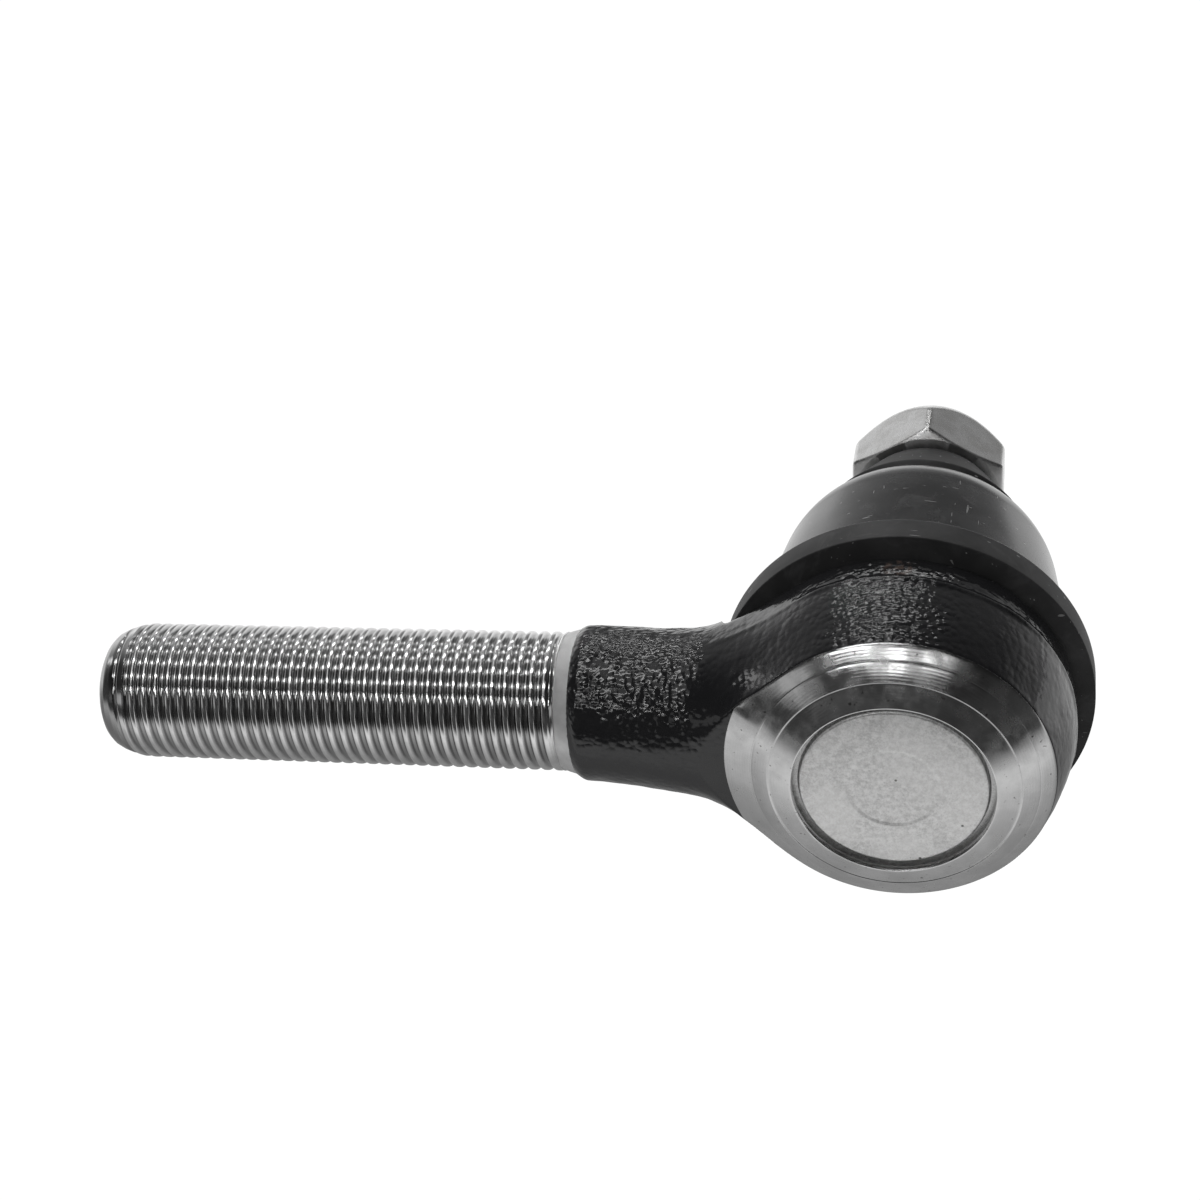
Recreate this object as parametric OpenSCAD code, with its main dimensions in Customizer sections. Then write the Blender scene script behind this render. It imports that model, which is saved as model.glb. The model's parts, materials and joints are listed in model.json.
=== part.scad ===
// Outer tie rod end: forged eye with a threaded shank, and a tapered ball stud under a rubber boot.
// The origin is the centre of the ball. The stud points along +Y and the shank along -X.

/* [Threaded shank] */
// Major diameter of the shank thread
shank_d = 16; // [14:0.5:18]
// Distance from the ball centre to the tip of the shank
shank_reach = 93.8; // [86:0.1:110]
// Length of the tapered nose that starts the thread
shank_nose = 4.2; // [2:0.1:5]
// Distance from the ball centre to the inner end of the thread
thread_end = 38.3; // [38:0.1:42]
// Distance from the ball centre to the end of the bare machined run-out
runout_end = 36.6; // [36:0.1:37.5]
// Diameter of the forged neck beside the run-out
neck_d = 18.1; // [17:0.1:19]

/* [Socket eye] */
// Outside diameter of the forged eye at its parting plane
eye_d = 38.2; // [37:0.1:40]
// Outside diameter of the machined rim around the cover plate
rim_d = 34; // [32:0.1:36]
// Distance from the ball centre to the start of the machined rim
rim_depth = 11.3; // [11:0.1:12]
// Slope of the machined rim in degrees
rim_slope = 29; // [24:0.5:32]
// Diameter of the opening inside the rolled lip
lip_d = 21.6; // [20:0.1:23]
// Thickness of the rolled lip at its edge
lip_t = 1; // [0.6:0.1:1.2]
// Inside diameter of the socket
socket_d = 23.2; // [22.8:0.1:24]
// Height of the socket's shoulder above the ball centre, which is the face the boot sits over
shoulder_h = 2.6; // [2:0.1:2.8]
// Diameter of the boss that the boot is pressed on
boss_d = 29.2; // [28:0.1:31]
// Height of the boss above the ball centre
boss_h = 9; // [8:0.1:10]

/* [Ball stud] */
// Diameter of the ball
ball_d = 20; // [19.6:0.1:20]
// Diameter of the neck between the ball and the taper
stud_neck_d = 10.4; // [9:0.1:10.6]
// Large diameter of the taper
taper_d = 14.7; // [14:0.1:15.5]
// Distance from the ball centre to the large end of the taper
taper_start = 21.5; // [20:0.1:24]
// Taper on the diameter, as one part in this many
taper_ratio = 8; // [8:0.5:10]
// Major diameter of the stud thread
stud_d = 12; // [10:0.5:12]
// Distance from the ball centre to the tip of the stud
stud_reach = 58.2; // [57:0.1:62]
// Size across the flats of the key recess in the stud tip
key_af = 5; // [4:0.5:6]

/* [Bearing] */
// Radial running clearance between the ball and its seats
ball_play = 0.05; // [0.02:0.01:0.1]
// Thickness of the dished lower seat
lower_seat_t = 1.1; // [0.9:0.1:1.2]
// Width of the grease grooves in the upper seat
groove_w = 1.2; // [0.8:0.1:2]
// Thickness of the conical preload spring
spring_t = 0.6; // [0.5:0.05:0.7]

/* [Cover plate] */
// Outside diameter of the cover plate
plate_d = 24.4; // [24.2:0.1:24.6]
// Thickness of the cover plate's flange
plate_t = 1.5; // [1.2:0.1:1.6]
// Diameter of the raised middle of the cover plate
crown_d = 20.2; // [18:0.1:21]
// Diameter of the shallow round pad stamped in the middle
pad_d = 9.3; // [6:0.1:12]

/* [Boot] */
// Diameter of the boot's flange
flange_d = 42; // [40:0.1:44]
// Distance from the ball centre to the near face of the flange
flange_start = 2.9; // [2.9:0.1:3.2]
// Thickness of the flange at its edge
flange_t = 3.65; // [3:0.05:4.2]
// Diameter of the dome where it leaves the flange
dome_d = 36.7; // [35:0.1:38]
// Radius of the dome's shoulder
dome_round = 12; // [11:0.5:13]
// Wall thickness of the dome
boot_wall = 1.6; // [1.2:0.1:2]
// Largest diameter of the boot's collar
collar_d = 27.4; // [26:0.1:28]
// Diameter of the top of the collar
collar_top_d = 17.9; // [17:0.1:18.5]
// Distance from the ball centre to the top of the collar
collar_top = 43.4; // [42:0.1:43.6]
// Radial gap between the collar's sealing bore and the stud taper
collar_gap = 0.15; // [0.1:0.01:0.2]
// Wire diameter of the ring moulded into the collar
ring_wire_d = 1.4; // [1:0.1:1.6]

/* [Lock nut] */
// Size of the nut across its flats
nut_af = 19; // [17:0.5:19]
// Height of the nut
nut_h = 12; // [11.5:0.1:13]
// Distance from the ball centre to the nut's bearing face
nut_start = 44.15; // [44:0.05:45]
// Angle that the nut stands at on the thread, in degrees
nut_turn = 1.4; // [0:0.1:59]
// Height of the nut's corners above its bearing chamfer
nut_corner_h = 5.1; // [4:0.1:6]

/* [Hidden] */
$fn = 96;
through = 1;

shank_r = shank_d / 2;
neck_r = neck_d / 2;
eye_r = eye_d / 2;
rim_r = rim_d / 2;
lip_r = lip_d / 2;
socket_r = socket_d / 2;
boss_r = boss_d / 2;
lip_y = -rim_depth - (rim_r - lip_r) * tan(rim_slope);

plate_r = plate_d / 2;
plate_seat_y = lip_y + lip_t + 0.5;
plate_back_y = plate_seat_y + plate_t;
crown_r = crown_d / 2;
crown_y = plate_seat_y - 0.75;
crown_round = 0.8;

ball_r = ball_d / 2;
seat_r = ball_r + ball_play;
socket_top = 3.4;
opening_y = 5.4;
opening_r = 9.3;
opening_top_r = 11.4;
upper_seat_y = -2.6;
lower_seat_y = -7;
// The stud sweeps this cone when both swings are at their limit
swing_slope = tan(28);
swing_r = stud_neck_d / 2 / cos(28) + 0.3;

neck_y = 12.5;
taper_end = nut_start - 1.6;
thread_chamfer = 1;
function taper_r(y) = taper_d / 2 - (y - taper_start) / taper_ratio / 2;

flange_r = flange_d / 2;
flange_end = flange_start + flange_t;
dome_r = dome_d / 2;
shoulder_r = dome_r - 1.65;
shoulder_y = 23.4;
shoulder_lean = 5.7;
shoulder_end = 42;
collar_y = 31.9;
collar_r = collar_d / 2;
collar_top_r = collar_top_d / 2;
insert_sleeve_t = 0.9;
insert_r = flange_r - 1;
ring_y = 37.5;
ring_r = 8.9;

nut_corner_r = nut_af / sqrt(3);
nut_face_r = nut_af / 2;
nut_chamfer = (nut_corner_r - nut_face_r) * tan(30);
insert_groove_r = 7.4;
insert_start = nut_h - 2.8;
roll_h = 0.4;

// Solid of revolution about the stud axis, from [radius, distance along +Y] points
module turned_on_stud(points)
    rotate([-90, 0, 0])
        rotate_extrude()
            polygon(points);

// Solid of revolution about the shank axis, from [radius, distance along -X] points
module turned_on_shank(points)
    rotate([0, -90, 0])
        rotate_extrude()
            polygon(points);

// Sphere about the ball centre, with its poles on the stud axis
module ball(radius)
    rotate([-90, 0, 0])
        sphere(radius);

// Points along an arc about a centre, from one angle to another
function arc(centre, radius, from, to, steps) =
    [for (i = [0:steps])
        let (a = from + (to - from) * i / steps)
            centre + radius * [cos(a), sin(a)]];

// Threaded bar with its nose, the bare run-out and the forged round neck
module shank() {
    turned_on_shank([
        [0, 0], [neck_r + 2.6, 16], [neck_r + 1.2, 20], [neck_r + 0.5, 23], [neck_r + 0.1, 27],
        [neck_r, 30], [neck_r, runout_end - 1], [shank_r + 0.4, runout_end],
        [shank_r, thread_end], [shank_r, shank_reach - shank_nose],
        [shank_r - 1, shank_reach - 1.1], [shank_r - 2.7, shank_reach], [0, shank_reach]
    ]);
}

// Room that the neck may fill, which drops to the shoulder where the boot's flange passes over it
module neck_limits() {
    half_w = 30;
    translate([0, 0, -half_w])
        linear_extrude(2 * half_w)
            polygon([
                [0, shoulder_h], [-flange_r - 0.7, shoulder_h], [-flange_r - 6, neck_r + 1],
                [-shank_reach - through, neck_r + 1], [-shank_reach - through, -neck_r - 2],
                [-flange_r, -rim_depth + 0.3], [0, -rim_depth + 0.3]
            ]);
}

// Forged eye, its machined rim and the boss that carries the boot
module eye() {
    turned_on_stud([
        [0, lip_y], [lip_r, lip_y], [rim_r, -rim_depth], [eye_r - 0.3, -4.5],
        [eye_r, -1], [eye_r - 0.2, 0.8], [eye_r - 1.2, shoulder_h], [boss_r, shoulder_h],
        [boss_r, boss_h - 0.6], [boss_r - 0.6, boss_h], [0, boss_h]
    ]);
}

// Hollow of the eye: the plate's recess behind the rolled lip, the socket and the stud's opening
module socket() {
    turned_on_stud([
        [0, lip_y - through], [lip_r, lip_y - through], [lip_r, lip_y + lip_t],
        [plate_r, plate_seat_y], [plate_r, plate_back_y], [socket_r, plate_back_y],
        [socket_r, socket_top], [opening_r, opening_y], [opening_top_r, boss_h],
        [opening_top_r + 0.5, boss_h + through], [0, boss_h + through]
    ]);
}

module housing() {
    color([0.09, 0.09, 0.1])
        difference() {
            union() {
                intersection() {
                    shank();
                    neck_limits();
                }
                eye();
            }
            socket();
        }
}

module cover_plate() {
    dish_r = 8;
    dish_depth = 0.5;
    pad_depth = 0.15;
    color([0.72, 0.73, 0.72])
        difference() {
            turned_on_stud(concat(
                [[0, plate_back_y], [0, crown_y]],
                arc([crown_r - crown_round, crown_y + crown_round], crown_round, -90, 0, 6),
                [[crown_r, plate_seat_y], [plate_r, plate_seat_y], [plate_r, plate_back_y]]
            ));
            turned_on_stud([
                [0, plate_back_y + through], [0, plate_back_y - dish_depth],
                [dish_r - dish_depth, plate_back_y - dish_depth], [dish_r + through, plate_back_y + through]
            ]);
            turned_on_stud([
                [0, crown_y - through], [pad_d / 2, crown_y - through],
                [pad_d / 2, crown_y + pad_depth], [0, crown_y + pad_depth]
            ]);
        }
}

// Conical disc spring that holds the lower seat against the ball
module preload_spring() {
    contact_r = 5.03;
    outer_r = socket_r - 0.4;
    contact_y = -sqrt(pow(seat_r + lower_seat_t + 0.02, 2) - contact_r * contact_r);
    color([0.45, 0.46, 0.48])
        turned_on_stud([
            [contact_r, contact_y], [contact_r, contact_y - spring_t],
            [outer_r, plate_back_y], [outer_r, plate_back_y + spring_t]
        ]);
}

module lower_seat() {
    grease_hole_r = 1.5;
    outer_r = seat_r + lower_seat_t;
    color([0.9, 0.88, 0.8])
        difference() {
            ball(outer_r);
            ball(seat_r);
            turned_on_stud([
                [0, lower_seat_y], [outer_r + through, lower_seat_y],
                [outer_r + through, outer_r + through], [0, outer_r + through]
            ]);
            rotate([90, 0, 0])
                cylinder(r = grease_hole_r, h = outer_r + through);
        }
}

module upper_seat() {
    fit = 0.02;
    grooves = 4;
    color([0.9, 0.88, 0.8])
        difference() {
            turned_on_stud([
                [0, upper_seat_y], [socket_r - fit, upper_seat_y],
                [socket_r - fit, socket_top - fit], [opening_r, opening_y - 2 * fit], [0, opening_y - 2 * fit]
            ]);
            ball(seat_r);
            turned_on_stud([
                [0, 0], [swing_r, 0], [swing_r + swing_slope * boss_h, boss_h], [0, boss_h]
            ]);
            for (i = [0:grooves - 1])
                rotate([0, 45 + 360 / grooves * i, 0])
                    translate([0, upper_seat_y - through, -groove_w / 2])
                        cube([seat_r + 0.4, opening_y - upper_seat_y, groove_w]);
        }
}

module ball_stud() {
    flat_y = ball_r - 0.4;
    key_depth = 4;
    neck_flare = 0.6;
    taper_land = 2;
    color([0.62, 0.63, 0.65])
        difference() {
            union() {
                ball(ball_r);
                turned_on_stud([
                    [0, 0], [stud_neck_d / 2, 0], [stud_neck_d / 2, neck_y],
                    [stud_neck_d / 2 + neck_flare, neck_y + 2.6],
                    [taper_d / 2 - 0.3, taper_start - taper_land - 0.6],
                    [taper_d / 2, taper_start - taper_land], [taper_d / 2, taper_start],
                    [taper_r(taper_end), taper_end], [stud_d / 2, taper_end + 0.1],
                    [stud_d / 2, stud_reach - thread_chamfer],
                    [stud_d / 2 - thread_chamfer, stud_reach], [0, stud_reach]
                ]);
            }
            translate([0, -flat_y - through, 0])
                cube([ball_r, 2 * through, ball_r], center = true);
            translate([0, stud_reach - key_depth, 0])
                rotate([-90, 0, 0])
                    cylinder(r = key_af / sqrt(3), h = key_depth + through, $fn = 6);
        }
}

// Outside of the steel ring moulded into the boot's flange
module insert_shape() {
    turned_on_stud([
        [boss_r, flange_start + 0.6], [boss_r + insert_sleeve_t, flange_start + 0.6],
        [boss_r + insert_sleeve_t, flange_start + 1.3], [insert_r, flange_start + 1.3],
        [insert_r, flange_start + 2.3], [boss_r + insert_sleeve_t, flange_start + 2.3],
        [boss_r + insert_sleeve_t, boss_h - 1.6], [boss_r, boss_h - 1.6]
    ]);
}

module collar_wire(clearance) {
    rotate([-90, 0, 0])
        translate([0, 0, ring_y])
            rotate_extrude()
                translate([ring_r, 0])
                    circle(ring_wire_d / 2 + clearance, $fn = 48);
}

module dust_boot() {
    shoulder_centre = [shoulder_r - dome_round * cos(shoulder_lean),
        shoulder_y - dome_round * sin(shoulder_lean)];
    crease_r = shoulder_centre[0] + dome_round * cos(shoulder_end) - 1;
    seal_y = 34.5;
    color([0.13, 0.13, 0.14])
        difference() {
            turned_on_stud(concat(
                [[boss_r, flange_start], [flange_r, flange_start], [flange_r, flange_end],
                    [dome_r + 0.4, flange_end + 0.05]],
                arc(shoulder_centre, dome_round, shoulder_lean, shoulder_end, 12),
                [[crease_r, collar_y - 1.1], [collar_r - 0.3, collar_y - 0.7], [collar_r, collar_y],
                    [collar_top_r, collar_top - 0.5], [collar_top_r - 0.5, collar_top],
                    [taper_r(collar_top) + collar_gap, collar_top],
                    [taper_r(seal_y) + collar_gap, seal_y], [crease_r - 2.2, collar_y - 2.2]],
                arc(shoulder_centre, dome_round - boot_wall, shoulder_end - 4, shoulder_lean, 10),
                [[dome_r - boot_wall, boss_h + 1], [boss_r, boss_h - 1]]
            ));
            insert_shape();
            collar_wire(0.05);
        }
}

module boot_insert_ring() {
    color([0.5, 0.51, 0.53])
        insert_shape();
}

module boot_collar_ring() {
    color([0.55, 0.56, 0.58])
        collar_wire(0);
}

module lock_nut() {
    crown_start = nut_chamfer + nut_corner_h;
    crown_rise = 2.9;
    crown_slope = crown_rise / (nut_corner_r - nut_face_r);
    spare = 0.5;
    color([0.78, 0.79, 0.78])
        translate([0, nut_start, 0])
            difference() {
                intersection() {
                    rotate([-90, 0, 0])
                        rotate([0, 0, 30 + nut_turn])
                            cylinder(r = nut_corner_r, h = nut_h, $fn = 6);
                    turned_on_stud([
                        [0, 0], [nut_face_r, 0], [nut_corner_r + spare, nut_chamfer + spare * tan(30)],
                        [nut_corner_r + spare, crown_start - spare * crown_slope],
                        [nut_face_r, crown_start + crown_rise], [nut_face_r - 0.5, crown_start + 3.9],
                        [nut_face_r - 1.1, nut_h - 1], [nut_face_r - 1.2, nut_h - 0.5],
                        [nut_face_r - 1.8, nut_h], [0, nut_h]
                    ]);
                }
                turned_on_stud([
                    [0, -through], [stud_d / 2 + through + 0.7, -through], [stud_d / 2, 0.7],
                    [stud_d / 2, insert_start], [insert_groove_r, insert_start],
                    [insert_groove_r, nut_h - roll_h], [insert_groove_r - 0.5, nut_h - roll_h],
                    [insert_groove_r - 0.5, nut_h + through], [0, nut_h + through]
                ]);
            }
}

module nut_insert() {
    color([0.2, 0.32, 0.62])
        translate([0, nut_start, 0])
            turned_on_stud([
                [stud_d / 2, insert_start], [insert_groove_r, insert_start],
                [insert_groove_r, nut_h - roll_h], [stud_d / 2, nut_h - roll_h]
            ]);
}

housing();
cover_plate();
preload_spring();
lower_seat();
upper_seat();
ball_stud();
dust_boot();
boot_insert_ring();
boot_collar_ring();
lock_nut();
nut_insert();
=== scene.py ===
import json
import math

import bmesh
import bpy
import numpy as np
from mathutils import Matrix, Vector, noise


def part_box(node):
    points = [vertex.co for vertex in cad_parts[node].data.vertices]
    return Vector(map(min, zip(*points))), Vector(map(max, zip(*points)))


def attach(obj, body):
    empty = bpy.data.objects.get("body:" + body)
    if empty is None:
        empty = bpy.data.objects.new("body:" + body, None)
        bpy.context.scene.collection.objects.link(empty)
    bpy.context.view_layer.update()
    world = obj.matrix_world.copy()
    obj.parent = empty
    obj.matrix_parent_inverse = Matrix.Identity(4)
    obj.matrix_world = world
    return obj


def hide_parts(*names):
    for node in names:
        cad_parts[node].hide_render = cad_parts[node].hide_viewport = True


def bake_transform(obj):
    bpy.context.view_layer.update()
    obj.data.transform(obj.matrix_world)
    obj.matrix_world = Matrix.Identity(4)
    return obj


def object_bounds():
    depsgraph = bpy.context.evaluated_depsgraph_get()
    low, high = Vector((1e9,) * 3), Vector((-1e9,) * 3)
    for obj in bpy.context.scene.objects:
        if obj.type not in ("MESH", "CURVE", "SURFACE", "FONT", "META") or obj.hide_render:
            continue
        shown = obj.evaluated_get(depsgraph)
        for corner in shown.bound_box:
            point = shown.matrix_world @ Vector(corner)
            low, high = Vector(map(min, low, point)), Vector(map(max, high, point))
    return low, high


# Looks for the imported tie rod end. Shapes are worked out in millimetres in the CAD frame:
# the ball's centre is the origin, the stud points along +Y and the shank along -X.

MM = 0.001
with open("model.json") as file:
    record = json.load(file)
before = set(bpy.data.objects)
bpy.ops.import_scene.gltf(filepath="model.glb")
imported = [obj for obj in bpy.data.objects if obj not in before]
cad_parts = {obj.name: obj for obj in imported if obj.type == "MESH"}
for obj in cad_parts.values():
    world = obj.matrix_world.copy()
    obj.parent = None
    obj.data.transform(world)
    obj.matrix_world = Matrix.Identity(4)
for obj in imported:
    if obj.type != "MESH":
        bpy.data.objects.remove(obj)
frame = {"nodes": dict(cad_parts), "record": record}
cad_box = [list(corner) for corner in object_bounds()]
scene = bpy.context.scene
mounts = {m["name"]: m for m in frame["record"]["mounts"]}


def cad_box_mm(node):
    low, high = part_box(node)
    return np.array(low) / MM, np.array(high) / MM


# ---------------------------------------------------------------- sizes

housing_low = cad_box_mm("housing")[0]
plate_low, plate_high = cad_box_mm("cover_plate")
boot_low, boot_high = cad_box_mm("dust_boot")
nut_low, nut_high = cad_box_mm("lock_nut")
stud_high = cad_box_mm("ball_stud")[1]

# Shank, with distances from the ball's centre towards the tip
SHANK_R = mounts["shank_thread"]["dims"]["r_mm"]
SHANK_PITCH = 1.5
TIP = -housing_low[0]
THREAD_END = 38.3  # the end nearer the ball
RUNOUT_R, RUNOUT_END = 8.4, 36.6
CREST_AT = 90.87  # the middle of one crest, on the +Y side

# Neck between the shank and the eye: radius, and height of its middle, at places along X
NECK_X = [-37.0, -34.0, -29.7, -27.0, -24.2, -21.5, -19.8, -17.0, -8.0]
NECK_SIZE = [9.05, 9.07, 9.1, 9.2, 9.4, 9.7, 10.0, 10.4, 10.8]
NECK_MIDDLE_Y = [0.0, -0.05, -0.5, -0.85, -1.1, -1.25, -1.3, -1.4, -1.5]
NECK_FLOOR_Y = -10.72
NECK_END_X, NECK_BLEND = -6.0, 6.0

# Eye of the forging: its widest ring, its shoulder, and how the neck rises outside the boot's flange
EYE_R, EYE_Y, EYE_REACH = 19.1, -1.5, 9.8
SHOULDER_Y = 2.6
FLANGE_CLEAR = 21.9
RISE_RUN, RISE_HEIGHT = 6.5, 7.2
FLASH_Y, FLASH_WIDTH = -2.2, 0.34

# Machined faces round the stud's axis, from the edge of the paint in to the rolled lip
SKIRT_R, SKIRT_Y = 18.0, -10.75
RIM_R, RIM_Y = 17.0, -11.3
RING_R, RING_Y = 15.4, -12.32
BEAD_R, BEAD_Y = 13.45, -13.56
LIP_R, LIP_Y = 10.8, housing_low[1]
SOCKET_R, SOCKET_Y = 11.6, 3.4
THROAT_R, THROAT_Y = 9.3, 5.4
BOSS_R, BOSS_Y, MOUTH_R = 14.6, 9.0, 11.4

PLATE_R, PLATE_BACK, PLATE_SEAT = plate_high[0], plate_high[1], LIP_Y + 1.5
CROWN_R, CROWN_Y = 10.1, plate_low[1]
DISH_R, DISH_DEPTH = 8.0, 0.5
PAD_R, PAD_DEPTH = 4.65, 0.08

BALL_R = mounts["ball_centre"]["dims"]["r_mm"]
STUD_TIP = stud_high[1]
STUD_R, STUD_PITCH = 6.0, 1.25
TAPER_R, TAPER_Y, TAPER_SLOPE = 7.35, 21.5, 1 / 16
KEY_FLATS, KEY_DEPTH = 5.0, 4.0

NUT_Y, NUT_H = nut_low[1], nut_high[1] - nut_low[1]
NUT_TOP = NUT_Y + NUT_H
NUT_AF, NUT_FLAT_H = 19.0, 5.1
NUT_TURN = math.radians(1.4)
INSERT_R, INSERT_H = 7.4, 2.8

# Boot: flange, then a slightly leaning wall, a round shoulder and a collar above a crease
FLANGE_R, FLANGE_Y = boot_high[0], boot_low[1]
FLANGE_END = FLANGE_Y + 3.65
BOOT_SEAM = 20.0
BOOT_WALL = 1.6
WALL_Y, WALL_BOW = 6.6, 0.16
DOME_FOOT_R, DOME_TOP_R, DOME_TOP_Y = 18.35, 16.7, 23.4
DOME_ROUND, DOME_LEAN, DOME_LAST = 12.0, 5.7, 42.0
CREASE_Y = 30.2
COLLAR_TOP = boot_high[1]
COLLAR_EASE = 0.15


# ---------------------------------------------------------------- mesh tools

def add_mesh(name, points, faces, material, sharp=38):
    """Object from points in mm, smooth but for edges over a sharp angle in degrees"""
    mesh = bpy.data.meshes.new(name)
    mesh.from_pydata((np.asarray(points) * MM).tolist(), [], [tuple(f) for f in faces])
    bm = bmesh.new()
    bm.from_mesh(mesh)
    bmesh.ops.remove_doubles(bm, verts=bm.verts, dist=2e-6)
    bmesh.ops.dissolve_degenerate(bm, edges=bm.edges, dist=1e-6)
    bmesh.ops.recalc_face_normals(bm, faces=bm.faces)
    bm.to_mesh(mesh)
    bm.free()
    mesh.polygons.foreach_set("use_smooth", [True] * len(mesh.polygons))
    mesh.set_sharp_from_angle(angle=math.radians(sharp))
    mesh.materials.append(material)
    obj = bpy.data.objects.new(name, mesh)
    scene.collection.objects.link(obj)
    return obj


def skin_loops(loops, closed, helix=(0, 0, 0)):
    """Quads between loops of equally many points, with fans over the two ends of an open skin

    helix is the first and last of the loops that wind as a thread, and how many loops one turn of it climbs
    """
    rows, count = len(loops), len(loops[0])
    points = np.concatenate(loops)
    faces = []
    first, last, climb = helix
    next_turn = [min(i + climb, last) if first <= i <= last else i for i in range(rows)]
    for i in range(rows if closed else rows - 1):
        ahead = (i + 1) % rows
        a, b = i * count, ahead * count
        faces += [(a + j, a + j + 1, b + j + 1, b + j) for j in range(count - 1)]
        faces.append((a + count - 1, next_turn[i] * count, next_turn[ahead] * count, b + count - 1))
    if not closed:
        for row in (0, rows - 1):
            centre = len(points)
            points = np.vstack([points, loops[row].mean(0)])
            faces += [(row * count + (j + 1) % count, row * count + j, centre) for j in range(count)]
    return points, faces


def turned(radius, along, angle):
    """Points about the stud axis, angle from +Z towards +X"""
    radius, along, angle = np.broadcast_arrays(radius, along, angle)
    return np.stack([radius * np.sin(angle), along, radius * np.cos(angle)], -1)


def angles(count):
    return np.arange(count) * 2 * math.pi / count


def lathe(name, profile, material, count=192, closed=True, sharp=38):
    """Closed solid of revolution about the stud axis from (radius, y) points"""
    loops = [turned(r, y, angles(count)) for r, y in profile]
    return add_mesh(name, *skin_loops(loops, closed), material, sharp)


def rounded(corners, steps=4):
    """Profile whose (r, y, fillet) corners are rounded"""
    out = []
    count = len(corners)
    for i, (r, y, fillet) in enumerate(corners):
        p = np.array([r, y])
        if not fillet:
            out.append(p)
            continue
        before = np.array(corners[i - 1][:2]) - p
        after = np.array(corners[(i + 1) % count][:2]) - p
        lb, la = np.linalg.norm(before), np.linalg.norm(after)
        before, after = before / lb, after / la
        half = math.acos(np.clip(before @ after, -1, 1)) / 2
        reach = min(fillet / math.tan(half), lb * 0.45, la * 0.45)
        start, end = p + before * reach, p + after * reach
        for k in range(steps + 1):
            t = k / steps
            out.append((1 - t) ** 2 * start + 2 * t * (1 - t) * p + t * t * end)
    return out


def arc(centre, radius, start, end, steps):
    """Points on a circle between two angles in degrees"""
    turn = np.radians(np.linspace(start, end, steps + 1))
    return [(centre[0] + radius * math.cos(a), centre[1] + radius * math.sin(a)) for a in turn]


# ---------------------------------------------------------------- material tools

class Nodes:
    """A node tree, and the arithmetic that the materials, the floor and the world share"""

    def __init__(self, owner, place, empty=False):
        owner.use_nodes = True
        self.tree = owner.node_tree
        if empty:
            self.tree.nodes.clear()
        self.place = self.node("TexCoord").outputs[place]

    def feed(self, socket, value):
        if hasattr(value, "links"):
            self.tree.links.new(value, socket)
        else:
            socket.default_value = value

    def node(self, kind, **inputs):
        """New node, with inputs set or linked by name"""
        node = self.tree.nodes.new("ShaderNode" + kind)
        for key, value in inputs.items():
            self.feed(node.inputs[key.replace("_", " ")], value)
        return node

    def math(self, operation, a, b=0.0):
        node = self.node("Math")
        node.operation = operation
        for socket, value in zip(node.inputs, (a, b)):
            self.feed(socket, value)
        return node.outputs[0]

    def chain(self, operation, first, *others):
        """Values joined by one operation, from left to right"""
        for other in others:
            first = self.math(operation, first, other)
        return first

    def add(self, *values):
        return self.chain("ADD", *values)

    def times(self, *values):
        return self.chain("MULTIPLY", *values)

    def most(self, *values):
        return self.chain("MAXIMUM", *values)

    def ramp(self, value, low, high, out_low=0.0, out_high=1.0):
        """value from low..high to out_low..out_high, eased at both ends"""
        node = self.node("MapRange", From_Min=low, From_Max=high, To_Min=out_low, To_Max=out_high)
        node.interpolation_type = "SMOOTHSTEP"
        self.feed(node.inputs["Value"], value)
        return node.outputs["Result"]

    def part(self, axis):
        """One coordinate of the place"""
        return self.node("SeparateXYZ", Vector=self.place).outputs[axis]


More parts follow.
